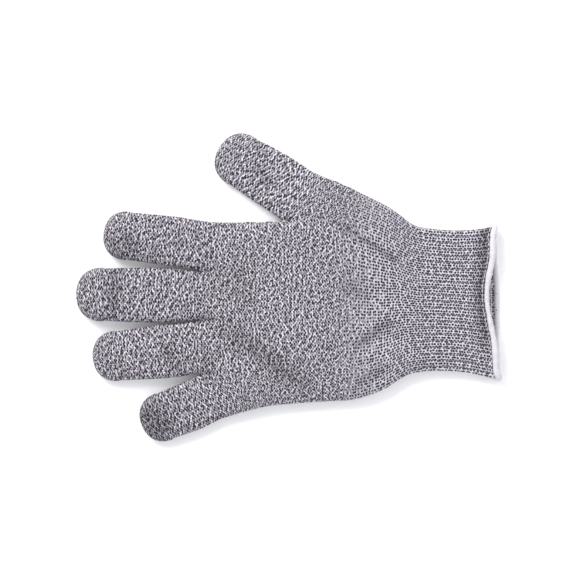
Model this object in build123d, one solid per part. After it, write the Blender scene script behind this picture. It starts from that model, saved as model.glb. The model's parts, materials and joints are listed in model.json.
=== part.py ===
from build123d import *

import math
import os

# A seamless knitted cut resistant glove, lying flat with its palm up, its fingers towards -X and its
# thumb towards +Y. The knit is one tube that branches into five finger tubes. It is cut here where a hand
# bends it, so that each stretch of tube is a solid of its own: two palm stretches, three on each finger,
# two on the thumb, and the ribbed cuff with its elastic yarns, its overlocked hem and the hem's needle
# thread. Millimetres. The origin is at the middle of the footprint, on the surface that it lies on.

# ---- driving dimensions ----------------------------------------------------------------------------
WALL = 1.7                # thickness of the knit
TRIM = 0.3                # the underside is pressed flat by this much where it lies on the table
JOINT_GAP = 0.4           # between two stretches of tube that bend against each other
ROUNDNESS = 2.4           # superellipse exponent of a finger's cross-section
PALM_ROUNDNESS = 2.8      # and of the palm's and the cuff's, which are flatter
SECTION_POINTS = 20       # points of each cross-section's closed spline
STUB = 14.0               # how far a finger's tube runs on into the palm, to open into it
FAR = 200.0               # larger than the glove

CROTCH_X = -50.2          # where the index, middle and ring finger tubes join
THUMB_CROTCH_X = -4.6     # where the thumb's tube joins, and the upper palm meets the lower palm
WRIST_X = 66.0            # where the cuff begins

# Each finger: its centre where the tube joins the palm, the way it points (degrees from -X towards +Y),
# its length from there, its thickness, its (distance, width) pairs, and how far out each crease lies.
FINGERS = {
    "index": dict(
        base=(CROTCH_X, 24.3), tilt=6.6, length=54.5, thick=10.5, creases=(7.0, 27.0, 41.5),
        widths=((-STUB, 29.0), (0, 28.4), (8, 27.9), (20, 27.8), (33, 27.0), (42, 26.4)),
    ),
    "middle": dict(
        base=(CROTCH_X, -4.3), tilt=0.7, length=69.3, thick=10.8, creases=(7.0, 33.0, 52.5),
        widths=((-STUB, 28.0), (0, 27.6), (8, 29.3), (20, 30.6), (33, 30.3), (46, 29.8), (56, 29.0)),
    ),
    "ring": dict(
        base=(CROTCH_X, -33.4), tilt=-5.4, length=61.0, thick=10.5, creases=(7.0, 29.5, 46.5),
        widths=((-STUB, 29.0), (0, 29.2), (8, 29.2), (20, 29.7), (33, 29.0), (42, 28.2), (48, 27.4)),
    ),
    "little": dict(
        base=(-42.6, -60.8), tilt=-21.0, length=43.6, thick=10.0, creases=(11.8, 23.4, 34.2),
        widths=((-STUB, 27.6), (0, 27.6), (8, 28.0), (18, 28.2), (26, 27.6), (31, 27.0)),
    ),
    "thumb": dict(
        base=(3.8, 52.0), tilt=31.3, length=51.7, thick=11.0, creases=(7.0, 29.5),
        widths=(
            (-62, 20.0), (-48, 28.0), (-30, 33.6), (-12, 33.8), (0, 32.8), (12, 32.0), (26, 31.0), (36, 29.6),
        ),
    ),
}
STRETCH_NAMES = {
    3: ("base", "middle", "tip"),
    2: ("base", "tip"),
}
DOME_ROUNDNESS = 2.25     # superellipse exponent of a fingertip, seen from above
DOME_SHARES = (0.0, 0.3, 0.55, 0.75, 0.9, 0.985)

# The palm and the cuff as one tube: place along X, lower and upper edge along Y, thickness.
PALM_STATIONS = (
    (-47.0, -57.0, 38.2, 10.6),
    (-37.0, -71.0, 37.6, 12.0),
    (-17.0, -66.9, 37.2, 13.2),
    (-5.0, -65.0, 38.4, 13.8),
    (10.0, -63.7, 43.5, 14.0),
    (28.0, -62.8, 46.6, 14.0),
    (41.5, -60.2, 47.0, 13.6),
    (50.5, -57.2, 45.6, 13.0),
    (59.5, -52.4, 41.8, 12.9),
    (66.0, -48.4, 37.6, 12.6),
    (73.0, -46.2, 34.4, 12.5),
    (82.0, -45.6, 33.2, 12.4),
    (95.5, -46.6, 32.4, 12.4),
    (106.0, -48.2, 33.0, 12.7),
    (114.0, -50.0, 34.2, 13.0),
    (122.0, -51.6, 35.2, 13.2),
)

# The mouth of the cuff leans back: its upper lip is nearer the palm than its lower lip.
MOUTH_LOW_X = 119.4
MOUTH_LEAN = 24.0         # degrees from upright
HEM_WIDTH = 4.4           # how far the overlocked edging reaches in from the mouth
HEM_PROUD = 0.75          # how far it stands out from each face of the knit
HEM_CORE = 0.6            # how far the knit's cut edge lies inside the edging
NEEDLE_BACK = 5.2         # the needle thread's line, behind the mouth
NEEDLE_SIZE = 0.45
NEEDLE_CLEAR = 0.05       # between the needle thread and the knit that it lies on

ELASTIC_COUNT = 11
ELASTIC_FIRST_X = 69.5
ELASTIC_STEP = 3.6
ELASTIC_SIZE = 0.7
ELASTIC_CLEAR = 0.9       # the elastic yarns lie this far inside the knit's inner face


# ---- cross-sections and tubes ----------------------------------------------------------------------
def superellipse(half_width, half_height, power):
    """A closed spline through the points of a superellipse, as a face."""
    points = []
    for k in range(SECTION_POINTS):
        t = 2 * math.pi * k / SECTION_POINTS
        across, up = math.cos(t), math.sin(t)
        points.append((
            half_width * math.copysign(abs(across) ** (2 / power), across),
            half_height * math.copysign(abs(up) ** (2 / power), up),
        ))
    return make_face(Spline(*points, periodic=True))


def direction(tilt):
    """The way a finger points, as a unit vector in the plane of the table."""
    return Vector(-math.cos(math.radians(tilt)), math.sin(math.radians(tilt)), 0)


def between(rows, place):
    """A row of values at a place, from the rows on each side of it. Each row begins with its place."""
    for before_row, after_row in zip(rows, rows[1:]):
        if place <= after_row[0]:
            share = (place - before_row[0]) / (after_row[0] - before_row[0])
            return [a + (b - a) * share for a, b in zip(before_row[1:], after_row[1:])]
    return list(rows[-1][1:])


def finger_tube(finger, inset):
    """A finger as a closed solid, from inside the palm to its domed tip; inset thins it all round."""
    pointing = direction(finger["tilt"])
    across = Vector(-pointing.Y, pointing.X, 0)
    start = Vector(*finger["base"], (finger["thick"] - TRIM) / 2)
    half_height = (finger["thick"] + TRIM) / 2
    dome = between(finger["widths"], finger["length"])[0] / 2
    dome_start = finger["length"] - dome
    stations = [(s, width / 2, half_height) for s, width in finger["widths"] if s < dome_start - 2]
    for share in DOME_SHARES:
        scale = (1 - share ** DOME_ROUNDNESS) ** (1 / DOME_ROUNDNESS)
        s = dome_start + share * (dome - inset)
        stations.append((s, dome * scale, half_height * (0.25 + 0.75 * scale)))
    faces = []
    for s, half_width, half_thick in stations:
        plane = Plane(origin=start + pointing * s, x_dir=across, z_dir=pointing)
        section = superellipse(max(half_width - inset, 0.8), max(half_thick - inset, 0.6), ROUNDNESS)
        faces.append(plane * section)
    return loft(faces)


def palm_section(x, inset):
    """The palm's or the cuff's cross-section at a place along X, as a face."""
    low, high, thick = between(PALM_STATIONS, x)
    middle = Vector(x, (low + high) / 2, (thick - TRIM) / 2)
    plane = Plane(origin=middle, x_dir=Vector(0, 1, 0), z_dir=Vector(1, 0, 0))
    return plane * superellipse((high - low) / 2 - inset, (thick + TRIM) / 2 - inset, PALM_ROUNDNESS)


def palm_tube(inset):
    """The palm and the cuff as one closed solid along X; inset makes it thinner all round."""
    return loft([palm_section(station[0], inset) for station in PALM_STATIONS])


# ---- blocks to cut with ----------------------------------------------------------------------------
def slab(x0, x1):
    """Everything between two places along X, above the table."""
    return Pos((x0 + x1) / 2, 0, FAR / 2) * Box(x1 - x0, 2 * FAR, FAR)


def behind(point, normal):
    """Everything above the table on the palm's side of an upright plane through a point."""
    plane = Plane(origin=Vector(point.X, point.Y, FAR / 2), x_dir=Vector(0, 0, 1), z_dir=normal)
    return plane * Pos(0, 0, -FAR / 2) * Box(FAR, 2 * FAR, FAR)


def mouth_block(back, front):
    """Everything between two leaning planes, back and front millimetres behind the mouth of the cuff."""
    lean = math.radians(MOUTH_LEAN)
    plane = Plane(
        origin=Vector(MOUTH_LOW_X, 0, 0),
        x_dir=Vector(0, 1, 0),
        z_dir=Vector(math.cos(lean), 0, math.sin(lean)),
    )
    return plane * Pos(0, 0, -(back + front) / 2) * Box(2 * FAR, 2 * FAR, back - front)


# ---- joint creases ---------------------------------------------------------------------------------
def crease(name, number):
    """A crease's point on the finger's centre line, and the direction that its plane faces.

    The fingers all fold about the Y axis, as on a hand, and the thumb folds square to itself.
    """
    finger = FINGERS[name]
    pointing = direction(finger["tilt"])
    point = Vector(*finger["base"], 0) + pointing * finger["creases"][number]
    return point, pointing if name == "thumb" else Vector(-1, 0, 0)


def palm_side(name, number, step):
    """Everything on the palm's side of a crease moved outwards by a step."""
    point, normal = crease(name, number)
    return behind(point + normal * step, normal)


# ---- the sub-parts ---------------------------------------------------------------------------------
def build_finger(name, outer, inner):
    """Every stretch of a finger beyond its first crease, by node name."""
    labels = STRETCH_NAMES[len(FINGERS[name]["creases"])]
    shell = (outer - inner) & slab(-FAR, FAR)
    nodes = {}
    for number, label in enumerate(labels):
        rest = shell - palm_side(name, number, JOINT_GAP / 2)
        if number + 1 < len(labels):
            rest = rest & palm_side(name, number + 1, -JOINT_GAP / 2)
        nodes[f"{name}_{label}"] = rest
    return nodes


def build_palm(outer, inner, tube, hollow):
    """The palm with the stubs of its five fingers, cut in two where the thumb joins."""
    for name in FINGERS:
        tube = tube + (outer[name] & palm_side(name, 0, -JOINT_GAP / 2))
    shell = tube - hollow
    for name in FINGERS:
        shell = shell - (inner[name] & palm_side(name, 0, JOINT_GAP))
    shell = shell & slab(-FAR, WRIST_X - JOINT_GAP / 2)
    lower_half = slab(THUMB_CROTCH_X, FAR)
    return {
        "palm_upper": shell - lower_half,
        "palm_lower": shell & lower_half,
    }


def build_cuff(tube, hollow):
    """The ribbed cuff."""
    return (tube - hollow) & slab(WRIST_X + JOINT_GAP / 2, FAR) & mouth_block(FAR, HEM_CORE)


def build_hem(cuff):
    """The overlocked edging, which wraps the cuff's edge from its outer face to its inner face."""
    band = palm_tube(-HEM_PROUD) - palm_tube(WALL + HEM_PROUD)
    return (band & slab(WRIST_X, FAR) & mouth_block(HEM_WIDTH, 0)) - cuff


def build_needle_thread():
    """The hem's needle thread, a line round the outside of the cuff behind the edging."""
    band = palm_tube(-NEEDLE_CLEAR - NEEDLE_SIZE) - palm_tube(-NEEDLE_CLEAR)
    return band & slab(WRIST_X, FAR) & mouth_block(NEEDLE_BACK, NEEDLE_BACK - NEEDLE_SIZE)


def build_elastic_yarns():
    """The elastic yarns laid into the rib, each a flat ring against the cuff's inner face."""
    inset = WALL + ELASTIC_CLEAR
    rings = []
    for k in range(ELASTIC_COUNT):
        x = ELASTIC_FIRST_X + k * ELASTIC_STEP
        ring = palm_section(x, inset) - palm_section(x, inset + ELASTIC_SIZE)
        rings.append(extrude(ring, ELASTIC_SIZE, dir=(1, 0, 0)))
    return Compound(children=rings)


def main():
    os.makedirs("parts", exist_ok=True)
    outer = {name: finger_tube(finger, 0) for name, finger in FINGERS.items()}
    inner = {name: finger_tube(finger, WALL) for name, finger in FINGERS.items()}
    tube, hollow = palm_tube(0), palm_tube(WALL)
    nodes = build_palm(outer, inner, tube, hollow)
    for name in FINGERS:
        nodes.update(build_finger(name, outer[name], inner[name]))
    nodes["cuff_rib"] = build_cuff(tube, hollow)
    nodes["cuff_hem"] = build_hem(nodes["cuff_rib"])
    nodes["cuff_needle_thread"] = build_needle_thread()
    nodes["cuff_elastic_yarns"] = build_elastic_yarns()
    for name, shape in nodes.items():
        solids = list(shape.solids())
        export_step(solids[0] if len(solids) == 1 else Compound(children=solids), f"parts/{name}.step")


main()
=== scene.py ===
import json
import math

import bpy
import numpy as np
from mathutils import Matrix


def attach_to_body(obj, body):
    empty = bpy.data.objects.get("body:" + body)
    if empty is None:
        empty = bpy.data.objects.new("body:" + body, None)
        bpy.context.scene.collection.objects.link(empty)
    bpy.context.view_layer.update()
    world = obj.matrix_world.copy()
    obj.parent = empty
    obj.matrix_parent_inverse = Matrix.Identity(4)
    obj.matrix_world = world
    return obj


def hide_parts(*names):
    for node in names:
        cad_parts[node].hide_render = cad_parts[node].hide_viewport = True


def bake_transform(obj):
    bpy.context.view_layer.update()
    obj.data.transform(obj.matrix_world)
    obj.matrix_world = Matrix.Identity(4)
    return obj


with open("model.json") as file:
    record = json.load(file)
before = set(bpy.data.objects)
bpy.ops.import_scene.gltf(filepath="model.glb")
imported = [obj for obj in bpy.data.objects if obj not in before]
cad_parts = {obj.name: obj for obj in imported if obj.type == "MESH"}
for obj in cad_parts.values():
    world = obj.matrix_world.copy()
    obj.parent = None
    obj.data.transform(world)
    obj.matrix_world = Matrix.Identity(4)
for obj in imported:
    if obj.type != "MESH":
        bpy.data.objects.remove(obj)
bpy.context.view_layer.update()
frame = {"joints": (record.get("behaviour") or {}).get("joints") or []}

MM = 0.001

# The glove is built the way it is knitted: as strips of wales (lengthwise columns of stitches), one for
# each finger, on a front and a back layer that meet along the outline. A base mesh with one quad for each
# stitch is made in millimetres, then subdivided and given the relief of its stitches. Wales are numbered
# across each layer from the little finger's side. Courses (rows) are numbered from the wrist: upwards to
# the fingertips, and below 0 down to the mouth of the cuff.

# ---- driving dimensions, in millimetres ------------------
COURSE = 1.55             # one row of stitches
WALES = {"little": 12, "ring": 14, "middle": 14, "index": 13, "thumb": 13}
STRIPS = ("little", "ring", "middle", "index")
RIB_WALES = 3             # in the cuff: two knit wales to a rib, and one purl wale in the groove beside it
GROOVE = 0.16             # the share of a rib's width that its purl wale still shows
BACK = 100                # added to a wale's number on the back layer
WALL = 1.5                # thickness of the knit
TABLE_GAP = 0.05          # least height of the knit's outer face above the table
INNER_GAP = 0.3           # and of its inner face
STEEP_SHARE = 0.35        # how much a row's rise counts when its stitches are spread evenly

CROTCH_X = -50.2          # where the finger tubes join
THUMB_CROTCH = (-4.6, 37.4)
WRIST_X = 66.0
CROTCHES = (-47.9, -17.9, 9.3)      # places along Y of the finger crotches, from the little finger's side
PALM_COURSES = 74
THUMB_COURSE = 45         # the course at which the thumb joins
CUFF_COURSES = 30
FORK_LENGTH = 17          # of the palm's upper end, where it divides into the roots of the fingers
THUMB_FORK_COURSES = 11   # the same for the thumb, in courses
FORK_POWER = 5            # added to a finger's exponent where those roots begin
ROOT_LENGTH = 14          # over which a finger eases from the palm's last course to its own width
LITTLE_LEAN = 12.5        # how far the outer side of the little finger's root lies back towards the wrist
LITTLE_BACK = 7.6         # and how far the middle of that root does

# Each finger's width at distances from its root, and how high its middle and its top lie above the table.
FINGER_SHAPES = {
    "index": dict(
        widths=((0, 28.8), (8, 28.6), (20, 28.5), (33, 27.8), (42, 27.2)), length=54.3, top=9.6,
    ),
    "middle": dict(
        widths=((0, 27.6), (8, 29.6), (20, 31.4), (33, 31.4), (46, 30.8), (56, 29.8)), length=69.2, top=9.9,
    ),
    "ring": dict(
        widths=((0, 30.0), (8, 30.4), (20, 30.8), (33, 29.8), (42, 28.6), (48, 27.8)), length=60.2, top=9.6,
    ),
    "little": dict(
        widths=((0, 27.9), (8, 28.6), (18, 28.6), (26, 28.0), (31, 27.2)), length=43.2, top=9.2,
    ),
    "thumb": dict(
        widths=((0, 33.4), (12, 33.0), (26, 32.0), (36, 30.2)), length=51.2, top=10.0,
    ),
}
MIDDLE_HEIGHT = 4.6       # of a finger's side edges above the table
REST_HEIGHT = 0.6         # of the back layer's outer face, before its relief
FINGER_POWER = 2.5        # superellipse exponents of the front layer's cross-sections
PALM_POWER = 3.4
BACK_POWER = 4.0          # and of the back layer's, which lies flat
TIP_POWER = 2.25          # of a fingertip's outline
TIP_SHARE = 1.15          # how much longer the way over a fingertip is than its radius

# The palm's and the cuff's outline, as points along X and Y.
LOW_OUTLINE = (
    (-52.0, -79.3), (-43.0, -75.0), (-30.0, -70.6), (-14.0, -66.3), (2.0, -64.6), (20.0, -63.3),
    (34.0, -62.5), (45.0, -59.6), (54.0, -55.6), (61.0, -50.8), (66.0, -48.3), (74.0, -46.6),
    (84.0, -46.2), (98.0, -47.2), (108.0, -49.2), (120.0, -52.4),
)
UPPER_OUTLINE = ((-54.0, 38.8), (-44.0, 37.2), (-30.0, 36.9), (-16.0, 36.9), (-4.6, 37.4))
HIGH_OUTLINE = (
    (-8.0, 77.1), (4.0, 69.8), (14.0, 64.5), (28.0, 58.4), (45.0, 50.2), (56.0, 44.3), (62.0, 39.9),
    (66.0, 36.7), (71.0, 34.4), (80.0, 33.0), (98.0, 32.4), (107.0, 33.3), (118.0, 36.4),
)
PALM_TOPS = (
    (-50.2, 9.6), (-36.0, 11.0), (-10.0, 12.2), (30.0, 12.4), (56.0, 11.4), (70.0, 10.6), (100.0, 10.4),
    (120.0, 11.4),
)

MOUTH_LOW_X = 115.7       # the rim of the cuff's mouth at the little finger's side, and at the thumb's
MOUTH_HIGH_X = 113.6
MOUTH_OPEN_AT = 0.56      # where it is open widest, as a share of the way from the little finger's side
MOUTH_BOW = 4.3           # how far the front lip draws back there
BACK_LIP_BOW = 0.7        # how far the back lip reaches out there
LIP_STEP = 1.8            # how far the front lip lies behind the back lip elsewhere
PINCH = 1.0               # how far the front layer sinks just behind the hem


# ---- curves and cross-sections ---------------------------
def smooth(value, low, high):
    """0 below low, 1 above high, and an S-curve between them."""
    t = np.clip((np.asarray(value, float) - low) / (high - low), 0, 1)
    return t * t * (3 - 2 * t)


def curve_through(points):
    """A function of x that passes smoothly through points, without overshoot."""
    xs, ys = np.array(points, float).T
    slopes = np.gradient(ys, xs)
    def value(x):
        x = np.clip(np.asarray(x, float), xs[0], xs[-1])
        k = np.clip(np.searchsorted(xs, x) - 1, 0, len(xs) - 2)
        step = xs[k + 1] - xs[k]
        t = (x - xs[k]) / step
        rise = (ys[k] * (1 + 2 * t) + slopes[k] * step * t) * (1 - t) ** 2
        return rise + (ys[k + 1] * (3 - 2 * t) - slopes[k + 1] * step * (1 - t)) * t ** 2
    return value


low_outline = curve_through(LOW_OUTLINE)
upper_outline = curve_through(UPPER_OUTLINE)
high_outline = curve_through(HIGH_OUTLINE)
palm_top = curve_through(PALM_TOPS)


def dome(share, power):
    """A superellipse's height, from 1 in the middle to 0 at a share of plus or minus 1."""
    return np.clip(1 - np.abs(share) ** power, 0, 1) ** (1 / power)


def spread(count, start, end, height):
    """Places along a straight row from start to end, evenly apart, and wider where it is steep."""
    sway = (1 - np.cos(np.linspace(0, math.pi, 65))) / 2
    points = start + (end - start) * sway[:, None]
    heights = height(points, sway)
    steps = np.hypot(np.linalg.norm(np.diff(points, axis=0), axis=1), np.diff(heights) * STEEP_SHARE)
    run = np.concatenate(([0], np.cumsum(steps)))
    shares = np.interp(np.linspace(0, run[-1], count + 1), run, sway)
    points = start + (end - start) * shares[:, None]
    return np.column_stack((points, height(points, shares)))


# ---- fingers, placed by the frame's joints ---------------
JOINTS = {joint["name"]: joint for joint in frame["joints"]}


def finger_joints(name):
    return [joint for joint in frame["joints"] if joint["name"].startswith(name + "_")]


def finger_line(name):
    """A finger's root point and the unit vector along it, in the plane of the table."""
    creases = [np.array(joint["pos_m"][:2]) / MM for joint in finger_joints(name)]
    along = (creases[-1] - creases[0]) / np.linalg.norm(creases[-1] - creases[0])
    if name == "thumb":
        root = creases[0] - along * ((creases[0] - THUMB_CROTCH) @ along)
    elif name == "little":
        root = creases[0] + along * ((CROTCH_X + LITTLE_BACK - creases[0][0]) / along[0])
    else:
        root = creases[0] + along * ((CROTCH_X - creases[0][0]) / along[0])
    return root, along


def layer_height(front, top, power):
    """The height of a layer at a share of the way across a tube, as a function of that share."""
    rise = top - MIDDLE_HEIGHT if front else REST_HEIGHT - MIDDLE_HEIGHT
    exponent = power if front else BACK_POWER
    return lambda across: MIDDLE_HEIGHT + rise * dome(across, exponent)


def finger_grid(name, front, first_row):
    """A finger's stitches on one layer, as rows of points from its root to its tip."""
    shape = FINGER_SHAPES[name]
    root, along = finger_line(name)
    side = np.array((along[1], -along[0]))
    count = WALES[name]
    width = curve_through(shape["widths"])
    radius = float(width(shape["length"])) / 2
    straight = shape["length"] - radius
    height = layer_height(front, shape["top"], FINGER_POWER)
    rows = [first_row]
    edges = first_row[0, :2], first_row[-1, :2]
    tube_rows = round(straight / COURSE)
    for s in np.linspace(0, straight, tube_rows + 1)[1:]:
        half = float(width(s)) / 2
        start, end = root + along * s - side * half, root + along * s + side * half
        ease = 1 - float(smooth(s, 0, ROOT_LENGTH))
        start = start + (edges[0] - (root - side * float(width(0)) / 2)) * ease
        end = end + (edges[1] - (root + side * float(width(0)) / 2)) * ease
        rows.append(spread(count, start, end, lambda _, share: height(2 * share - 1)))
    return np.array(rows + tip_rows(rows[-1], root + along * straight, along, side, radius, height))


def tip_rows(last, centre, along, side, radius, height):
    """The rows of a rounded fingertip: the square end of the grid, drawn in to the tip's outline."""
    across = (last[:, :2] - centre) @ side / radius
    reach = spread(2 * round(radius * TIP_SHARE / COURSE), np.zeros(2), np.array((2 * radius, 0.0)),
                   lambda _, share: height(2 * share - 1))[:, 0] / radius - 1
    found = []
    for ahead in reach[reach > 1e-6]:
        x = across * np.sqrt(1 - ahead ** 2 / 2)
        y = ahead * np.sqrt(1 - across ** 2 / 2)
        ring = np.hypot(x, y)
        turn = np.arctan2(y, x)
        stretch = (np.abs(np.cos(turn)) ** TIP_POWER + np.abs(np.sin(turn)) ** TIP_POWER) ** (-1 / TIP_POWER)
        flat = centre + radius * (np.outer(x * stretch, side) + np.outer(y * stretch, along))
        found.append(np.column_stack((flat, height(np.minimum(ring, 1)))))
    return found


# ---- palm and cuff ---------------------------------------
def palm_places():
    """The palm's courses along X, from the wrist to the finger crotches."""
    lower = np.linspace(WRIST_X, THUMB_CROTCH[0], THUMB_COURSE + 1)
    upper = np.linspace(THUMB_CROTCH[0], CROTCH_X, PALM_COURSES - THUMB_COURSE + 1)
    return np.concatenate((lower, upper[1:]))


def across_share(y, low, high):
    return (2 * y - low - high) / (high - low)


def full_height(front, x, y):
    """A layer's height over the whole palm or cuff, the thumb's root included."""
    share = across_share(y, low_outline(x), high_outline(x))
    return layer_height(front, palm_top(x), PALM_POWER)(share)


def wrist_row(front):
    """The wrist's course, evenly spread over both of the cuff's layers."""
    start = np.array((WRIST_X, low_outline(WRIST_X)))
    end = np.array((WRIST_X, high_outline(WRIST_X)))
    def height(points, _):
        return full_height(front, points[:, 0], points[:, 1])
    return spread(sum(WALES.values()), start, end, height)


def strip_bounds(x, wrist_shares, course):
    """The edges of the four finger strips along Y at one course of the palm."""
    whole_x = max(x, THUMB_CROTCH[0])
    low, high = float(low_outline(whole_x)), float(high_outline(whole_x))
    even = low + np.array(wrist_shares) * (high - low)
    inner = even[1:4] + (np.array(CROTCHES) - even[1:4]) * float(smooth(WRIST_X - x, 0, WRIST_X - CROTCH_X))
    if course <= THUMB_COURSE:
        thumb_ease = float(smooth(WRIST_X - x, 0, WRIST_X - THUMB_CROTCH[0]))
        outer = even[4] + (THUMB_CROTCH[1] - even[4]) * thumb_ease
    else:
        outer = float(upper_outline(x))
    return np.array([float(low_outline(x)), *inner, outer])


def thumb_fork_share(course):
    """How far the thumb's root has parted from the palm at a course, from 0 to 1."""
    return float(smooth(course, THUMB_COURSE - THUMB_FORK_COURSES, THUMB_COURSE))


def palm_row(front, x, course, wrist_shares):
    """One course of the palm across the four finger strips."""
    lean = LITTLE_LEAN * float(smooth(-x, 5, -CROTCH_X))
    bounds = strip_bounds(x, wrist_shares, course)
    bounds[0] = float(low_outline(x + lean))
    fork = 1 - float(smooth(x, CROTCH_X, CROTCH_X + FORK_LENGTH))
    thumb_fork = thumb_fork_share(course)
    lobe_power = FINGER_POWER + FORK_POWER * (1 - fork)
    row = []
    for k, name in enumerate(STRIPS):
        start, end = bounds[k], bounds[k + 1]
        def height(points, share):
            y = points[:, 1]
            across = across_share(y, bounds[0], bounds[-1])
            body = layer_height(front, palm_top(x), PALM_POWER)(across) * thumb_fork
            if thumb_fork < 1:
                body = body + full_height(front, x, y) * (1 - thumb_fork)
            lobe = layer_height(front, FINGER_SHAPES[name]["top"], lobe_power)(2 * share - 1)
            return body * (1 - fork) + lobe * fork
        part = spread(WALES[name], np.array((x, start)), np.array((x, end)), height)
        if name == "little":
            part[:, 0] += lean * (end - part[:, 1]) / (end - start)
        row.append(part if not row else part[1:])
    return np.concatenate(row)


def thumb_root_grid(front, palm):
    """The thumb's strip of the lower palm, from the wrist to the thumb's crotch."""
    rows = []
    shape = FINGER_SHAPES["thumb"]
    root, along = finger_line("thumb")
    outer_end = root + np.array((along[1], -along[0])) * shape["widths"][0][1] / 2
    for course in range(THUMB_COURSE + 1):
        start = palm[course, -1, :2]
        x = WRIST_X + (outer_end[0] - WRIST_X) * course / THUMB_COURSE
        end = np.array((x, float(high_outline(x))))
        thumb_fork = thumb_fork_share(course)
        def height(points, share):
            lobe = layer_height(front, shape["top"], FINGER_POWER)(2 * share - 1)
            return lobe * thumb_fork + full_height(front, points[:, 0], points[:, 1]) * (1 - thumb_fork)
        row = spread(WALES["thumb"], start, end, height)
        row[0] = palm[course, -1]
        rows.append(row)
    return np.array(rows)


def mouth_x(share, front):
    """The rim of the cuff's mouth along X, at a share of the way across from the little finger's side."""
    straight = MOUTH_LOW_X + (MOUTH_HIGH_X - MOUTH_LOW_X) * share
    reach = np.where(share > MOUTH_OPEN_AT, 0.20, 0.28)
    bow = np.exp(-(np.abs(share - MOUTH_OPEN_AT) / reach) ** 2.4) * np.sin(math.pi * share)
    if not front:
        return straight + BACK_LIP_BOW * bow
    between_sides = smooth(share, 0, 0.08) * (1 - smooth(share, 0.92, 1))
    return straight - MOUTH_BOW * bow - LIP_STEP * between_sides


def cuff_grid(front, first_row):
    """The cuff's courses, from the wrist to the mouth."""
    rows = [first_row]
    count = sum(WALES.values())
    for course in range(1, CUFF_COURSES + 1):
        t = course / CUFF_COURSES
        low_x = WRIST_X + (MOUTH_LOW_X - WRIST_X) * t
        high_x = WRIST_X + (MOUTH_HIGH_X - WRIST_X) * t
        low, high = float(low_outline(low_x)), float(high_outline(high_x))
        top = float(palm_top(low_x)) - PINCH * float(smooth(t, 0.80, 0.93) - smooth(t, 0.93, 1.0))
        height = layer_height(front, top, PALM_POWER)
        row = spread(count, np.array((low_x, low)), np.array((high_x, high)),
                     lambda _, share: height(2 * share - 1))
        share = (row[:, 1] - low) / (high - low)
        bowed = WRIST_X + (mouth_x(share, front) - WRIST_X) * t
        row[:, 0] += (bowed - row[:, 0]) * t ** 2
        rows.append(row)
    return np.array(rows)


# ---- the base mesh: one quad for each stitch -------------
def layer_grids(front):
    """Every grid of one layer: its rows of points, its first wale, its first row's course, and the step."""
    wrist = wrist_row(front)
    edges = np.concatenate(([0], np.cumsum([WALES[name] for name in STRIPS])))
    wrist_shares = (wrist[edges, 1] - wrist[0, 1]) / (wrist[-1, 1] - wrist[0, 1])
    palm = [wrist[: edges[-1] + 1]]
    for course, x in list(enumerate(palm_places()))[1:]:
        palm.append(palm_row(front, float(x), course, wrist_shares))
    palm = np.array(palm)
    thumb_root = thumb_root_grid(front, palm)
    thumb_root[0] = wrist[edges[-1]:]
    first_wale = 0 if front else BACK
    grids = [(palm, first_wale, 0, 1)]
    for k, name in enumerate(STRIPS):
        grid = finger_grid(name, front, palm[-1, edges[k]: edges[k + 1] + 1])
        grids.append((grid, first_wale + edges[k], PALM_COURSES, 1))
    grids.append((thumb_root, first_wale + edges[-1], 0, 1))
    grids.append((finger_grid("thumb", front, thumb_root[-1]), first_wale + edges[-1], THUMB_COURSE, 1))
    grids.append((cuff_grid(front, wrist), first_wale, 0, -1))
    return grids


# Each soft fold of the front layer: from, to, how deep it is, how wide, and how much painted shade it puts
# on the knit's colour, where shade falls in it.
# A fold below 0 deep is a ridge.
FOLDS = (
    ((-36.0, -23.0), (7.0, -54.0), 2.2, 6.0, 0.40),
    ((38.0, -31.5), (57.0, -18.5), 1.8, 3.2, 0.46),
    ((57.0, -26.0), (74.0, -22.5), 1.0, 2.0, 0.10),
    ((28.0, 35.0), (60.0, 14.0), 1.5, 1.9, 0.44),
    ((31.0, 1.0), (44.0, -5.5), 1.0, 5.0, 0.26),
    ((38.0, -53.0), (53.0, -44.5), 1.3, 3.4, 0.36),
    ((-97.5, 10.0), (-97.5, -14.0), 1.3, 3.6, 0.40),
    ((-19.0, 67.0), (-11.0, 55.0), 1.4, 4.5, 0.30),
    ((-68.0, -33.0), (-63.0, -46.0), 1.2, 5.0, 0.28),
    ((-47.0, -33.0), (-44.0, -51.0), 0.6, 5.0, 0.22),
    ((-98.0, 17.0), (-86.0, 28.0), 0.6, 8.0, 0.34),
    ((-83.0, -67.0), (-68.0, -81.0), 0.6, 10.0, 0.52),
    ((-29.0, 16.0), (-24.0, -14.0), 0.5, 6.0, 0.18),
    ((-52.0, 12.0), (-30.0, 6.0), 0.4, 6.0, 0.15),
    ((-44.0, 22.0), (-30.0, 26.0), -0.9, 5.0, 0.0),
)


SOFT_WAVE = 0.45          # height of the broad waves of a glove that lies empty
SOFT_RIPPLE = 0.3         # and of the shorter ones over them


def fold_profile(x, y, start, end, reach):
    """1 along a fold's line, falling to 0 beside it and past its ends."""
    (x0, y0), (x1, y1) = start, end
    length = math.hypot(x1 - x0, y1 - y0)
    ux, uy = (x1 - x0) / length, (y1 - y0) / length
    along = ((x - x0) * ux + (y - y0) * uy) / length
    off = (x - x0) * uy - (y - y0) * ux
    ends = smooth(along, -0.25, 0.2) * (1 - smooth(along, 0.8, 1.25))
    return ends * np.exp(-(off / reach) ** 2)


def fold_shade(points):
    """How much painted shade the folds put on points of the front layer, from 0 to 1."""
    shade = np.zeros(len(points))
    # closed: how much painted shade a fold puts on the knit's colour
    for start, end, _, reach, closed in FOLDS:
        shade += closed * fold_profile(points[:, 0], points[:, 1], start, end, reach)
    return shade


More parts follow.
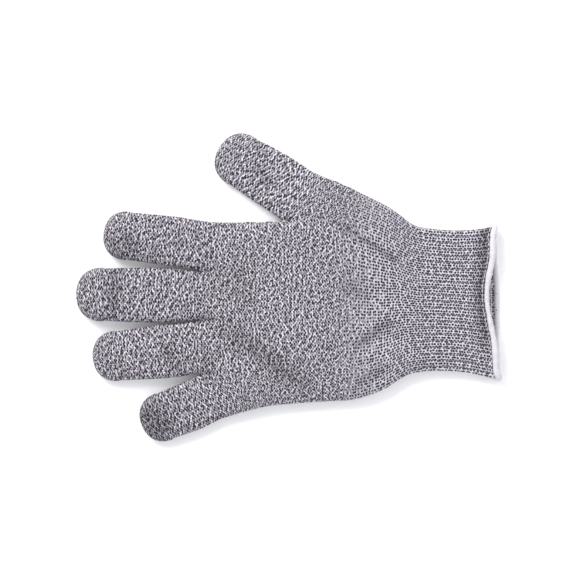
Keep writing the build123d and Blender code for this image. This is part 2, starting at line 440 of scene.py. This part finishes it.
def settle(points, front):
    """The soft dents and folds of a glove that lies empty, as heights added to a layer's points."""
    if not front:
        return points
    x, y = points[:, 0], points[:, 1]
    lift = smooth(points[:, 2], MIDDLE_HEIGHT + 1, MIDDLE_HEIGHT + 4.5)
    wave = SOFT_WAVE * np.sin(x / 11.0 + 0.6 * np.sin(y / 17.0)) * np.cos(y / 13.0 + 0.8)
    wave += SOFT_RIPPLE * np.sin(x / 5.5 + y / 8.0 + 1.1) * np.sin(y / 6.1 - x / 19.0)
    for start, end, depth, reach, _ in FOLDS:
        wave -= depth * fold_profile(x, y, start, end, reach)
    moved = points.copy()
    moved[:, 2] += wave * lift
    return moved


def base_mesh():
    """The welded base mesh, with each corner's wale and course in a UV map named grid."""
    verts, faces, corners = [], [], []
    offset = 0
    for front in (True, False):
        for grid, first_wale, first_course, step in layer_grids(front):
            rows, columns = grid.shape[:2]
            flat = settle(grid.reshape(-1, 3), front)
            verts.append(flat)
            r, c = np.meshgrid(np.arange(rows - 1), np.arange(columns - 1), indexing="ij")
            r, c = r.ravel(), c.ravel()
            around = ((0, 0), (0, 1), (1, 1), (1, 0))
            if front != (step > 0):
                around = around[::-1]
            index, places = [], []
            for dr, dc in around:
                index.append(offset + (r + dr) * columns + (c + dc))
                places.append(np.column_stack((first_wale + c + dc, first_course + step * (r + dr))))
            faces.append(np.column_stack(index))
            corners.append(np.stack(places, axis=1))
            offset += rows * columns
    verts = np.concatenate(verts)
    faces = np.concatenate(faces)
    corners = np.concatenate(corners).astype(float)
    _, first, shared = np.unique(np.round(verts, 3), axis=0, return_index=True, return_inverse=True)
    return make_mesh("glove_base", verts[first] * MM, shared.reshape(-1)[faces], {"grid": corners})


def make_mesh(name, verts, faces, maps, normals=None, depth=None):
    """A smooth mesh of quads, with corner maps and, if given, its points' normals and their painted shade.
    """
    mesh = bpy.data.meshes.new(name)
    mesh.vertices.add(len(verts))
    mesh.vertices.foreach_set("co", np.asarray(verts, np.float32).ravel())
    mesh.loops.add(faces.size)
    mesh.loops.foreach_set("vertex_index", faces.astype(np.int32).ravel())
    mesh.polygons.add(len(faces))
    mesh.polygons.foreach_set("loop_start", np.arange(0, faces.size, faces.shape[1], dtype=np.int32))
    mesh.update(calc_edges=True)
    for map_name, values in maps.items():
        layer = mesh.uv_layers.new(name=map_name)
        layer.uv.foreach_set("vector", np.asarray(values, np.float32).reshape(-1))
    mesh.shade_smooth()
    # depth is the painted shade of each point, kept as an attribute that the knit's colour is darkened by
    if depth is not None:
        mesh.attributes.new("painted_shade", "FLOAT", "POINT").data.foreach_set("value", depth.astype(np.float32))
    if normals is not None:
        mesh.normals_split_custom_set_from_vertices(normals.tolist())
    obj = bpy.data.objects.new(name, mesh)
    bpy.context.scene.collection.objects.link(obj)
    return obj


def arrays(mesh):
    """A mesh's points, point normals, quads and corner wales and courses, as arrays."""
    count, loops = len(mesh.vertices), len(mesh.loops)
    verts, normals = np.empty(count * 3, np.float32), np.empty(count * 3, np.float32)
    faces, grid = np.empty(loops, np.int32), np.empty(loops * 2, np.float32)
    mesh.vertices.foreach_get("co", verts)
    mesh.vertex_normals.foreach_get("vector", normals)
    mesh.loops.foreach_get("vertex_index", faces)
    mesh.uv_layers["grid"].uv.foreach_get("vector", grid)
    return verts.reshape(-1, 3), normals.reshape(-1, 3), faces.reshape(-1, 4), grid.reshape(-1, 4, 2)


def subdivided(obj, levels):
    """A copy of the object's mesh after that many levels of smooth subdivision."""
    modifier = obj.modifiers.new("stitches", "SUBSURF")
    modifier.levels = levels
    modifier.render_levels = levels
    modifier.uv_smooth = "NONE"
    modifier.boundary_smooth = "PRESERVE_CORNERS"
    shown = obj.evaluated_get(bpy.context.evaluated_depsgraph_get())
    mesh = bpy.data.meshes.new_from_object(shown)
    obj.modifiers.remove(modifier)
    return mesh


# ---- relief of the stitches ------------------------------
RELIEF = 0.34             # from the deepest point between two yarns to the top of a yarn
RIB_RELIEF = 0.55         # from the bottom of a groove to the top of a rib
LEG_SLANT = 0.9           # courses that a stitch's leg climbs from the middle of its wale to the edge
PALM_HOLE = 0.94          # size of the dark holes between the yarns, as a share of half a stitch
CUFF_HOLE = 1.11          # the same in the cuff, where each stitch shows one hole in place of two
FINGER_HOLE = 0.98        # the same out along the fingers
FAINT_HOLE = 0.78         # how dark the fainter of a stitch's two holes is
STRAY_ACROSS = 0.55       # how far a hole strays across its wale, as a share of half a stitch
STRAY_ALONG = 1.10        # the same along its wale
HEM_SINK = 0.5            # how far the knit sinks where the edging grips it


def cuff_share(course):
    """0 in the palm's plain knit, 1 in the cuff's rib."""
    return 1 - smooth(course, -8.0, 1.5)


def rib_offset(wale):
    """How far across its rib a place in the cuff lies: 0 on the crest, plus or minus 0.5 in a groove."""
    phase = (wale % BACK - 1) / RIB_WALES
    return phase - np.round(phase)


def stitch_wale(wale, course):
    """The wale that shows at a place: in the cuff the knit wales spread and the purl wale narrows."""
    off = rib_offset(wale)
    shoulder = (1 - GROOVE) / 2
    on_rib = np.abs(off) / shoulder
    in_groove = 1 + (np.abs(off) - shoulder) / GROOVE
    shown = wale - off * RIB_WALES + np.sign(off) * np.where(on_rib < 1, on_rib, in_groove)
    return wale + (shown - wale) * cuff_share(course)


def scatter(wale, course):
    """A share from 0 to 1 that is scattered from stitch to stitch, and the same in each run."""
    return np.abs(np.sin(np.floor(wale) * 12.9898 + np.floor(course) * 78.233) * 43758.5453) % 1


def stitch_relief(wale, course):
    """The relief of plain knit: each wale is a column of V shapes."""
    side = np.abs(2 * (wale - np.floor(wale)) - 1)
    legs = 0.5 + 0.5 * np.cos(2 * math.pi * (course + LEG_SLANT * side))
    gap = 0.5 * side ** 4 + 0.35 * (1 - side) ** 4
    return RELIEF * (legs * 0.7 - gap) * (0.8 + 0.4 * scatter(wale, course))


def relief(wale, course):
    """The relief anywhere on the glove: rounded ribs in the cuff, and stitches over everything."""
    cuff = cuff_share(course)
    crest = 1 - (2 * np.abs(rib_offset(wale))) ** 2.6
    stitches = stitch_relief(stitch_wale(wale, course), course) * (1 - 0.6 * cuff * (1 - crest))
    gripped = smooth(-course, CUFF_COURSES - 2.4, CUFF_COURSES - 1.0)
    return (stitches + RIB_RELIEF * (crest - 0.75) * cuff) * (1 - gripped) - HEM_SINK * gripped


def painted_shade(wale, course, points):
    """Painted shade, from 0 to 1, where shade falls on the knit: in its folds, in the rib grooves, and in
    the pinch just behind the hem.
    """
    front = wale < BACK
    # Painted shade in the rib grooves and in the pinch just behind the hem.
    groove = smooth(np.abs(rib_offset(wale)), 0.36, 0.5) * cuff_share(course)
    pinch = smooth(-course, CUFF_COURSES - 8.5, CUFF_COURSES - 3.0) * smooth(wale, 6, 24) * front
    return np.clip(0.26 * groove + 0.60 * pinch + fold_shade(points) * front, 0, 0.8)


# ---- materials -------------------------------------------
class Nodes:
    """A material's node tree, with one short call for each node."""

    def __init__(self, name):
        self.material = bpy.data.materials.new(name)
        self.material.use_nodes = True
        self.tree = self.material.node_tree
        self.shader = self.tree.nodes["Principled BSDF"]

    def link(self, source, target):
        self.tree.links.new(source, target)

    def add(self, kind, **settings):
        node = self.tree.nodes.new(kind)
        for key, value in settings.items():
            setattr(node, key, value)
        return node

    def put(self, socket, value):
        if isinstance(value, (int, float, tuple)):
            socket.default_value = value
        else:
            self.link(value, socket)

    def math(self, operation, a, b=0.0, c=0.0):
        node = self.add("ShaderNodeMath", operation=operation)
        for socket, value in zip(node.inputs, (a, b, c)):
            self.put(socket, value)
        return node.outputs[0]

    def span(self, value, low, high, start=0.0, end=1.0):
        node = self.add("ShaderNodeMapRange", interpolation_type="SMOOTHSTEP")
        entries = {"Value": value, "From Min": low, "From Max": high, "To Min": start, "To Max": end}
        for key, entry in entries.items():
            self.put(node.inputs[key], entry)
        return node.outputs[0]

    def off_centre(self, value):
        """How far a number lies from the middle of its unit step: 0 in the middle, 1 at both ends."""
        return self.math("ABSOLUTE", self.math("MULTIPLY_ADD", self.math("FRACT", value), 2.0, -1.0))

    def round_off(self, value):
        """1 where a number is 0, falling along a parabola to 0 where it is 1."""
        return self.math("SUBTRACT", 1.0, self.math("POWER", value, 2.0))

    def vector(self, x, y, z=0.0):
        node = self.add("ShaderNodeCombineXYZ")
        for socket, value in zip(node.inputs, (x, y, z)):
            self.put(socket, value)
        return node.outputs[0]

    def noise(self, place, scale, detail=2.0, rough=0.5):
        node = self.add("ShaderNodeTexNoise")
        self.put(node.inputs["Vector"], place)
        for key, value in (("Scale", scale), ("Detail", detail), ("Roughness", rough)):
            node.inputs[key].default_value = value
        return node.outputs["Fac"]

    def chance(self, place):
        node = self.add("ShaderNodeTexWhiteNoise", noise_dimensions="3D")
        self.put(node.inputs["Vector"], place)
        return node.outputs["Value"]

    def mix(self, share, a, b, kind="MIX"):
        node = self.add("ShaderNodeMix", data_type="RGBA", blend_type=kind)
        self.put(node.inputs["Factor"], share)
        self.put(node.inputs["A"], a)
        self.put(node.inputs["B"], b)
        return node.outputs["Result"]

    def ramp(self, share, stops):
        node = self.add("ShaderNodeValToRGB")
        elements = node.color_ramp.elements
        while len(elements) < len(stops):
            elements.new(0.5)
        for element, (place, colour) in zip(elements, stops):
            element.position = place
            element.color = (*colour, 1)
        self.put(node.inputs[0], share)
        return node.outputs["Color"]

    def bump(self, height, distance, strength, under=None):
        node = self.add("ShaderNodeBump")
        node.inputs["Strength"].default_value = strength
        node.inputs["Distance"].default_value = distance
        self.put(node.inputs["Height"], height)
        if under is not None:
            self.link(under, node.inputs["Normal"])
        return node.outputs["Normal"]

    def place(self):
        return self.add("ShaderNodeTexCoord").outputs["Object"]

    def set(self, **values):
        for key, value in values.items():
            self.shader.inputs[key.replace("_", " ")].default_value = value


DARK_YARN = (0.030, 0.026, 0.036)
MID_YARN = (0.720, 0.670, 0.775)
LILAC_YARN = (0.900, 0.850, 0.955)
PALE_YARN = (0.980, 0.945, 1.000)
# Painted shade: the near-black that the holes and crevices between the yarns, and the folds, are darkened
# to.
GAP_SHADE = (0.012, 0.010, 0.015, 1)


def knit_holes(m, wale, level, at_edge, share, size, wander):
    """1 in the holes and 0 on the yarn. Each stitch has two, each strayed from its place.

    The hole at the edge of the wale is the darker in a share of the stitches, and the one between the two
    legs in the others.
    """
    shift = 0.0 if at_edge else 0.5
    wale, level = m.math("ADD", wale, shift), m.math("ADD", level, shift)
    edge, row = m.math("ROUND", wale), m.math("ROUND", level)
    stray = m.add("ShaderNodeTexWhiteNoise", noise_dimensions="3D")
    m.link(m.vector(edge, row, shift), stray.inputs["Vector"])
    drift = m.add("ShaderNodeSeparateColor")
    m.link(stray.outputs["Color"], drift.inputs[0])
    off = m.math("MULTIPLY", m.math("SUBTRACT", wale, edge), 2.0)
    off = m.math("ADD", off, m.math("MULTIPLY_ADD", drift.outputs[0], STRAY_ACROSS, -STRAY_ACROSS / 2))
    down = m.math("MULTIPLY", m.math("SUBTRACT", level, row), 2.0)
    down = m.math("ADD", down, m.math("MULTIPLY_ADD", drift.outputs[1], STRAY_ALONG, -STRAY_ALONG / 2))
    far = m.math("SQRT", m.math("MULTIPLY_ADD", down, down, m.math("MULTIPLY", off, off)))
    unlike = m.math("MULTIPLY_ADD", drift.outputs[2], 0.1, -0.05)
    rim = m.math("ADD", m.math("ADD", far, wander), unlike)
    stitch = m.vector(m.math("SUBTRACT", edge, 2 * shift), m.math("SUBTRACT", row, 2 * shift), 7.7)
    darker = m.math("LESS_THAN" if at_edge else "GREATER_THAN", m.chance(stitch), share)
    dark = m.math("MULTIPLY_ADD", darker, 1 - FAINT_HOLE, FAINT_HOLE)
    return m.math("MULTIPLY", m.math("SUBTRACT", 1.0, m.span(m.math("DIVIDE", rim, size), 0.6, 1.0)), dark)


def knit_material():
    """Melange yarn: dark and pale plies twisted together, in the legs of plain stitches, with painted shade
    in the holes and crevices between the yarns and in the folds.
    """
    m = Nodes("melange_knit")
    split = m.add("ShaderNodeSeparateXYZ")
    m.link(m.add("ShaderNodeUVMap", uv_map="stitch").outputs["UV"], split.inputs[0])
    wale, course = split.outputs[0], split.outputs[1]
    side = m.off_centre(wale)
    climb = m.math("MULTIPLY_ADD", side, LEG_SLANT, course)
    leg = m.math("FLOOR", m.math("MULTIPLY", wale, 2.0))
    luck = m.chance(m.vector(leg, m.math("FLOOR", climb), 3.7))
    across = m.off_centre(m.math("MULTIPLY", wale, 2.0))
    along = m.off_centre(climb)
    twist = m.math("MULTIPLY_ADD", across, 0.6, m.math("MULTIPLY", climb, 2.0))
    yarn = m.vector(m.math("MULTIPLY", wale, 4.0), twist, m.math("MULTIPLY", luck, 9.0))
    plies = m.noise(yarn, 1.3, 2.0, 0.6)
    shade = m.math("MULTIPLY_ADD", plies, 1.0, m.math("MULTIPLY_ADD", luck, 0.06, -0.04))
    colour = m.ramp(shade, ((0.22, DARK_YARN), (0.34, MID_YARN), (0.50, LILAC_YARN), (0.72, PALE_YARN)))
    raggedness = m.span(course, 0.0, 30.0, 0.7, 0.14)
    wander = m.math("MULTIPLY", m.math("SUBTRACT", m.noise(yarn, 0.9, 1.0), 0.5), raggedness)
    level = m.math("ADD", course, LEG_SLANT)
    odd = m.math("MODULO", m.math("ROUND", wale), 2.0)
    level_in_rib = m.math("MULTIPLY_ADD", odd, m.span(course, -8.0, 30.0, 0.5, 0.0), level)
    share = m.span(course, 0.0, 30.0, 1.0, 0.5)
    size = m.math("ADD", m.span(course, 0.0, 30.0, CUFF_HOLE, PALM_HOLE),
                  m.span(course, 50.0, 85.0, 0.0, FINGER_HOLE - PALM_HOLE))
    at_edges = knit_holes(m, wale, level_in_rib, True, share, size, wander)
    at_middles = knit_holes(m, wale, level, False, share, size, wander)
    at_middles = m.math("MULTIPLY", at_middles, m.span(course, 0.0, 30.0))
    hole = m.math("MAXIMUM", at_edges, at_middles)
    # Painted shade: the holes between the yarns and the crevices between the legs are darkened towards
    # near-black, for the shade inside them.
    line = m.math("MAXIMUM", m.span(along, 0.62, 1.0, 0.0, 0.35), m.span(side, 0.22, 0.0, 0.0, 0.3))
    colour = m.mix(m.math("MAXIMUM", line, m.math("MULTIPLY", hole, 0.97)), colour, GAP_SHADE)
    tint = m.noise(m.place(), 38.0, 2.0)
    colour = m.mix(m.span(tint, 0.35, 0.65, 0.0, 0.35), colour, (0.93, 0.96, 0.98, 1), "MULTIPLY")
    # Painted shade: the colour darkens towards near-black by the painted shade kept on each point, in folds,
    # rib grooves and the pinch behind the hem.
    depth = m.add("ShaderNodeAttribute", attribute_name="painted_shade").outputs["Fac"]
    colour = m.mix(m.math("MULTIPLY", depth, 0.9), colour, GAP_SHADE)
    m.link(colour, m.shader.inputs["Base Color"])
    round_yarn = m.math("MULTIPLY", m.round_off(across), m.round_off(along))
    bump = m.bump(round_yarn, 0.0004, 0.9)
    bump = m.bump(m.noise(m.place(), 5200.0, 3.0, 0.7), 0.00012, 0.5, bump)
    m.link(bump, m.shader.inputs["Normal"])
    m.link(m.span(luck, 0.0, 1.0, 0.82, 0.98), m.shader.inputs["Roughness"])
    m.set(Specular_IOR_Level=0.1, Sheen_Weight=0.04, Sheen_Roughness=0.6)
    return m.material


def thread_material(name, pale, shadow, fleck):
    """White bulked thread, faintly grey between its strands, with a few flecks of the knit showing."""
    m = Nodes(name)
    strands = m.noise(m.place(), 1400.0, 4.0, 0.65)
    colour = m.ramp(strands, ((0.30, shadow), (0.55, pale)))
    peeking = m.noise(m.place(), 520.0, 1.0)
    colour = m.mix(m.span(peeking, 0.72, 0.78, 0.0, fleck), colour, (*DARK_YARN, 1))
    m.link(colour, m.shader.inputs["Base Color"])
    m.link(m.bump(strands, 0.00025, 0.6), m.shader.inputs["Normal"])
    m.link(m.span(strands, 0.3, 0.7, 0.95, 0.75), m.shader.inputs["Roughness"])
    m.set(Specular_IOR_Level=0.25, Sheen_Weight=0.2, Sheen_Roughness=0.5)
    return m.material


def floor_material():
    """A pale matt tabletop with a barely visible grain."""
    m = Nodes("pale_table")
    grain = m.noise(m.place(), 40.0, 3.0)
    shades = ((0.3, (0.975, 0.975, 0.98)), (0.7, (0.985, 0.985, 0.99)))
    m.link(m.ramp(grain, shades), m.shader.inputs["Base Color"])
    m.link(m.span(grain, 0.3, 0.7, 0.7, 0.8), m.shader.inputs["Roughness"])
    return m.material


# ---- splitting the knit where the joints bend it ---------
BEND_REACH = 8.0          # how far a finger's bend reaches from its joint, each way, at most
BEND_SHARE = 0.42         # and at most this share of the way to the next joint
WRIST_REACH = 12.0        # how far the wrist's bend reaches from its joint, each way
BORDER_BACK = 12.5        # how far from that joint the palm's knit ends and the cuff's begins


def crease_zones(name):
    """For each joint of a finger: the direction across the crease, and where its bend begins and ends."""
    joints = finger_joints(name)
    root, along = finger_line(name)
    normal = along if name == "thumb" else np.array((-1.0, 0.0))
    tip = root + along * FINGER_SHAPES[name]["length"]
    places = [float(np.array(joint["pos_m"][:2]) @ normal) / MM for joint in joints]
    first = float(root @ normal) if name == "thumb" else -CROTCH_X
    stops = [first, *places, float(tip @ normal)]
    zones = []
    for k, joint in enumerate(joints):
        before = (places[k] - stops[k]) * BEND_SHARE
        after = (stops[k + 2] - places[k]) * BEND_SHARE
        begin = first if k == 0 else places[k] - min(BEND_REACH, before)
        zones.append((joint, normal, begin, places[k] + min(BEND_REACH, after)))
    return zones


def wrist_bend():
    """The wrist's joint, the direction across it, and where its bend begins and ends."""
    joint = JOINTS["wrist_fold"]
    x = joint["pos_m"][0] / MM
    return joint, np.array((1.0, 0.0)), x - WRIST_REACH, x + WRIST_REACH


def knit_parts(wale, course, centres):
    """Every piece of the knit: its name, the node that it stands for, its body or bend, and its faces."""
    names = (*STRIPS, "thumb")
    edges = np.concatenate(([0], np.cumsum([WALES[name] for name in names])))
    parts = []
    for k, name in enumerate(names):
        root_course = THUMB_COURSE if name == "thumb" else PALM_COURSES
        own = (wale > edges[k]) & (wale < edges[k + 1]) & (course > root_course)
        zones = crease_zones(name)
        for n, (joint, normal, begin, end) in enumerate(zones):
            low = -math.inf if n == 0 else (zones[n - 1][3] + begin) / 2
            high = math.inf if n + 1 == len(zones) else (end + zones[n + 1][2]) / 2
            reach = centres[:, :2] @ normal
            node = joint["child"]
            chosen = own & (reach >= low) & (reach < high)
            parts.append((node + "_knit", node, (joint, normal, begin, end), chosen))
    below_thumb = course <= THUMB_COURSE
    in_cuff = centres[:, 0] >= JOINTS["wrist_fold"]["pos_m"][0] / MM - BORDER_BACK
    upper = (wale < edges[len(STRIPS)]) & ~below_thumb & (course <= PALM_COURSES)
    parts.append(("palm_upper_knit", "palm_upper", "palm", upper))
    parts.append(("palm_lower_knit", "palm_lower", "palm", below_thumb & ~in_cuff))
    parts.append(("cuff_knit", "cuff_rib", wrist_bend(), below_thumb & in_cuff))
    return parts


def attach(obj, how):
    """Rides on a body, or, given a joint's bend, stays where it is with its placement baked into its points.
    """
    if isinstance(how, str):
        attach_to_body(obj, how)
        return
    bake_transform(obj)


def build_knit(base, material):
    """The knit's outer face in full relief and its plain inner face, split into pieces at the joints."""
    verts, normals, faces, grid = arrays(subdivided(base, 2))
    wales, courses = np.empty(len(verts)), np.empty(len(verts))
    wales[faces.ravel()] = grid[:, :, 0].ravel()
    courses[faces.ravel()] = grid[:, :, 1].ravel()
    raised = verts + normals * (relief(wales, courses) * MM)[:, None]
    raised[:, 2] = np.maximum(raised[:, 2], TABLE_GAP * MM)
    whole = make_mesh("whole", raised, faces, {})
    smooth_normals = np.empty(len(raised) * 3, np.float32)
    whole.data.vertex_normals.foreach_get("vector", smooth_normals)
    smooth_normals = smooth_normals.reshape(-1, 3)
    bpy.data.objects.remove(whole)

    in_verts, in_normals, in_faces, in_grid = arrays(base.data)
    in_verts = in_verts - in_normals * WALL * MM
    in_verts[:, 2] = np.maximum(in_verts[:, 2], INNER_GAP * MM)
    all_verts = np.concatenate((raised, in_verts))
    # Painted shade on the outer face, and none on the inner face.
    all_painted_shade = np.concatenate((painted_shade(wales, courses, raised / MM), np.zeros(len(in_verts))))
    all_normals = np.concatenate((smooth_normals, -in_normals))
    all_faces = np.concatenate((faces, in_faces[:, ::-1] + len(raised)))
    all_grid = np.concatenate((grid, in_grid[:, ::-1]))
    all_map = all_grid.copy()
    all_map[:, :, 0] = stitch_wale(all_grid[:, :, 0], all_grid[:, :, 1])

    centres = all_verts[all_faces].mean(axis=1) / MM
    wale = all_grid[:, :, 0].mean(axis=1) % BACK
    course = all_grid[:, :, 1].mean(axis=1)
    for name, node, how, chosen in knit_parts(wale, course, centres):
        used, local = np.unique(all_faces[chosen], return_inverse=True)
        quads = local.reshape(-1, 4)
        maps = {"stitch": all_map[chosen]}
        obj = make_mesh(name, all_verts[used], quads, maps, all_normals[used], all_painted_shade[used])
        obj.data.materials.append(material)
        attach(obj, how)
        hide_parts(node)


# ---- hem, needle thread and elastic yarns ----------------
HEM_HALF_WIDTH = 1.3
HEM_SPREAD = 0.4          # how much further the edging reaches at the two sides of the mouth
HEM_HALF_THICKNESS = 1.45
HEM_BACK = 0.2            # its middle line, behind the rim
HEM_GAP = 0.1             # least height of the edging above the table
HEM_STEP = 0.24           # between two rings of its points
HEM_ROUND = 16            # points round the edging
LOOPER_PITCH = 1.3        # between two turns of the looper thread
LOOPER_SLANT = 0.9        # of a turn that a thread gains from the edging's outer to its inner side
LOOPER_RELIEF = 0.2
NEEDLE_INSET = 2.4        # the needle thread's line, behind the rim
NEEDLE_STITCH = 2.6
NEEDLE_SHOWN = 0.86       # the share of a stitch that lies on top of the knit
NEEDLE_ARCH = 0.75        # how high it arches there
NEEDLE_SINK = 0.15        # how far its ends sink into the knit
NEEDLE_RADIUS = 0.24
NEEDLE_STEP = 0.26        # between two rings of its points
ELASTIC_RADIUS = 0.35
ELASTIC_GAP = 0.1         # between an elastic yarn and the knit's inner face
ELASTIC_STEP = 0.9        # between two rings of its points
ELASTIC_COURSES = range(-28, -3, 3)
THREAD_ROUND = 6          # points round a needle thread or an elastic yarn


def cuff_loop(course, inset):
    """A closed line round the cuff at a course: its points, and each one's way to the mouth and normal."""
    whole = {}
    for front in (True, False):
        whole[front] = cuff_grid(front, wrist_row(front))
    k = -course
    loops = []
    for row in (k, k - 1):
        loops.append(np.concatenate((whole[True][row], whole[False][row][-2:0:-1])))
    line, behind = loops
    ahead = line - behind
    tangent = np.roll(line, -1, axis=0) - np.roll(line, 1, axis=0)
    tangent /= np.linalg.norm(tangent, axis=1)[:, None]
    normal = np.cross(ahead, tangent)
    normal /= np.linalg.norm(normal, axis=1)[:, None]
    ahead = np.cross(tangent, normal)
    ahead /= np.linalg.norm(ahead, axis=1)[:, None]
    return line - normal * inset, ahead, normal


def resampled(columns, step):
    """A closed line and what goes with it, at even steps along it, and the distance run at each."""
    line = np.concatenate((columns[0], columns[0][:1]))
    run = np.concatenate(([0], np.cumsum(np.linalg.norm(np.diff(line, axis=0), axis=1))))
    count = round(run[-1] / step)
    at = np.linspace(0, run[-1], count, endpoint=False)
    found = []
    for values in columns:
        closed = np.concatenate((values, values[:1]))
        found.append(np.column_stack([np.interp(at, run, closed[:, k]) for k in range(3)]))
    return (*found, at, run[-1])


def ring_faces(rings, around):
    """The quads of a closed tube of rings, each with the same number of points."""
    r, a = np.meshgrid(np.arange(rings), np.arange(around), indexing="ij")
    r, a = r.ravel(), a.ravel()
    r1, a1 = (r + 1) % rings, (a + 1) % around
    return np.column_stack((r * around + a, r1 * around + a, r1 * around + a1, r * around + a1))


def build_hem(material):
    """The overlocked edging: looper threads wrapped slantwise over the cuff's edge."""
    line, ahead, normal, at, total = resampled(cuff_loop(-CUFF_COURSES, WALL / 2), HEM_STEP)
    angle = np.linspace(0, 2 * math.pi, HEM_ROUND, endpoint=False)
    turns = round(total / LOOPER_PITCH)
    phase = at[:, None] / total * turns + LOOPER_SLANT * np.abs(np.sin(angle / 2))[None, :]
    thread = LOOPER_RELIEF * np.abs(np.cos(math.pi * phase)) ** 0.7
    uneven = 0.10 * np.sin(at / 2.3) + 0.08 * np.sin(at / 0.97 + 2.0) + 0.12 * np.sin(at / 9.1)
    size = 1 + (thread + uneven[:, None] - LOOPER_RELIEF / 2) / HEM_HALF_THICKNESS
    middle = (line[:, 1].max() + line[:, 1].min()) / 2
    to_side = np.abs(line[:, 1:2] - middle) / (line[:, 1].max() - middle)
    out = np.cos(angle)[None, :] * (HEM_HALF_WIDTH + HEM_SPREAD * to_side) * size
    up = np.sin(angle)[None, :] * HEM_HALF_THICKNESS * size
    points = line[:, None] + ahead[:, None] * (out[:, :, None] - HEM_BACK) + normal[:, None] * up[:, :, None]
    points = points.reshape(-1, 3)
    points[:, 2] = np.maximum(points[:, 2], HEM_GAP)
    hem = make_mesh("overlocked_hem", points * MM, ring_faces(len(line), HEM_ROUND), {})
    hem.data.materials.append(material)
    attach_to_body(hem, "cuff")
    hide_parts("cuff_hem")


def tube_points(path, radius):
    """The points of a thread's tube round a path."""
    tangent = np.gradient(path, axis=0)
    tangent /= np.linalg.norm(tangent, axis=1)[:, None]
    side = np.cross(tangent, (0.13, 0.21, 0.97))
    side /= np.linalg.norm(side, axis=1)[:, None]
    up = np.cross(side, tangent)
    angle = np.linspace(0, 2 * math.pi, THREAD_ROUND, endpoint=False)
    size = np.broadcast_to(np.asarray(radius, float), (len(path),))[:, None, None]
    ring = side[:, None] * np.cos(angle)[None, :, None] + up[:, None] * np.sin(angle)[None, :, None]
    return (path[:, None] + ring * size).reshape(-1, 3)


def build_needle_thread(material):
    """The needle thread's row of short stitches behind the edging."""
    line, ahead, normal, _, total = resampled(cuff_loop(-CUFF_COURSES, 0.0), NEEDLE_STEP)
    count = round(total / NEEDLE_STITCH)
    per = len(line) / count
    verts, faces = [], []
    for k in range(count):
        rows = np.arange(int(k * per), int(k * per + per * NEEDLE_SHOWN))
        share = np.linspace(0, 1, len(rows))
        arch = NEEDLE_ARCH * np.sin(math.pi * share)[:, None] - NEEDLE_SINK
        path = line[rows] - ahead[rows] * NEEDLE_INSET + normal[rows] * arch
        path[:, 2] = np.maximum(path[:, 2], NEEDLE_RADIUS + TABLE_GAP)
        thick = NEEDLE_RADIUS * (0.35 + 0.65 * np.sin(math.pi * (0.06 + 0.88 * share)))
        tube = ring_faces(len(rows), THREAD_ROUND)[: (len(rows) - 1) * THREAD_ROUND]
        faces.append(tube + sum(len(v) for v in verts))
        verts.append(tube_points(path, thick))
    thread = make_mesh("needle_thread", np.concatenate(verts) * MM, np.concatenate(faces), {})
    thread.data.materials.append(material)
    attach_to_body(thread, "cuff")
    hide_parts("cuff_needle_thread")


def build_elastic_yarns(material):
    """The elastic yarns, one ring against the inner face at every third course."""
    verts, faces = [], []
    for course in ELASTIC_COURSES:
        line = resampled(cuff_loop(course, WALL + ELASTIC_RADIUS + ELASTIC_GAP), ELASTIC_STEP)[0]
        closed = np.concatenate((line[-1:], line, line[:1]))
        faces.append(ring_faces(len(line), THREAD_ROUND) + sum(len(v) for v in verts))
        verts.append(tube_points(closed, ELASTIC_RADIUS)[THREAD_ROUND:-THREAD_ROUND])
    yarns = make_mesh("elastic_yarns", np.concatenate(verts) * MM, np.concatenate(faces), {})
    yarns.data.materials.append(material)
    attach(yarns, wrist_bend())
    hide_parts("cuff_elastic_yarns")


# ---- floor, light and camera -----------------------------
VIEW_WIDTH = 320.8        # what the camera sees across, at the height of the glove's side edges
LENS = 100.0
SENSOR = 36.0
VIEW_CENTRE = (-1.4, 0.0)


def area_light(name, place, size, power, colour):
    data = bpy.data.lights.new(name, "AREA")
    data.size = size
    data.energy = power
    data.color = colour
    lamp = bpy.data.objects.new(name, data)
    lamp.location = place
    direction = -lamp.location.normalized()
    lamp.rotation_euler = direction.to_track_quat("-Z", "Y").to_euler()
    bpy.context.scene.collection.objects.link(lamp)


def build_stage():
    bpy.ops.mesh.primitive_plane_add(size=6.0, location=(0, 0, 0))
    table = bpy.context.object
    table.name = "table"
    table.data.materials.append(floor_material())
    world = bpy.data.worlds.new("studio")
    world.use_nodes = True
    background = world.node_tree.nodes["Background"]
    background.inputs["Color"].default_value = (0.97, 0.98, 1.0, 1)
    background.inputs["Strength"].default_value = 0.85
    bpy.context.scene.world = world
    area_light("key", (-0.55, 0.75, 0.75), 0.6, 13.0, (1.0, 0.99, 0.97))
    area_light("fill", (0.7, -0.5, 0.8), 0.9, 3.0, (0.97, 0.98, 1.0))
    camera_data = bpy.data.cameras.new("camera")
    camera_data.lens = LENS
    camera_data.sensor_width = SENSOR
    camera = bpy.data.objects.new("camera", camera_data)
    height = VIEW_WIDTH * LENS / SENSOR + MIDDLE_HEIGHT
    camera.location = (VIEW_CENTRE[0] * MM, VIEW_CENTRE[1] * MM, height * MM)
    bpy.context.scene.collection.objects.link(camera)
    bpy.context.scene.camera = camera
    bpy.context.scene.view_settings.view_transform = "Standard"


# ---- the whole scene -------------------------------------
def main():
    build_stage()
    base = base_mesh()
    build_knit(base, knit_material())
    bpy.data.objects.remove(base)
    build_hem(thread_material("white_overlock_thread", (0.67, 0.65, 0.69), (0.47, 0.45, 0.50), 0.7))
    build_needle_thread(thread_material("white_needle_thread", (0.70, 0.69, 0.72), (0.48, 0.47, 0.51), 0.0))
    build_elastic_yarns(thread_material("covered_elastic", (0.72, 0.70, 0.68), (0.50, 0.48, 0.46), 0.0))


main()
